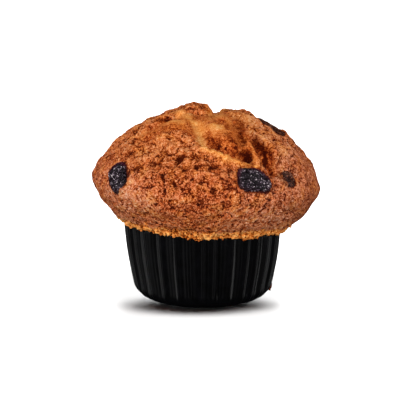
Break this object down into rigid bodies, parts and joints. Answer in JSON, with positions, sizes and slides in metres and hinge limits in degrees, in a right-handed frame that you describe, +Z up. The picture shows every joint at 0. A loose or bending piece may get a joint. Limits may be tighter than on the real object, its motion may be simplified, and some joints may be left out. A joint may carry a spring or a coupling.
{
  "type": "muffin",
  "caption": "Bakery muffin with a domed, burst crust overhanging a pleated dark paper case, and whole dark berries baked into the cap.",
  "frame": {"origin": "centre of the paper case's flat floor, on the surface that the muffin stands on", "axes": "+Z up, -Y to the front, where the cap has burst open, and +X to the right of the front"},
  "size_m": [0.0878, 0.0869, 0.0753],
  "materials": {
    "crust": "matte",
    "case_paper": "satin",
    "berry": "gloss"
  },
  "bodies": {
    "root": {"cake": "crust", "paper_case": "case_paper", "berry_left": "berry", "berry_front": "berry", "berry_right": "berry", "berry_top_right": "berry", "berry_rear": "berry", "berry_rear_left": "berry", "berry_rear_right": "berry"}
  },
  "joints": []
}
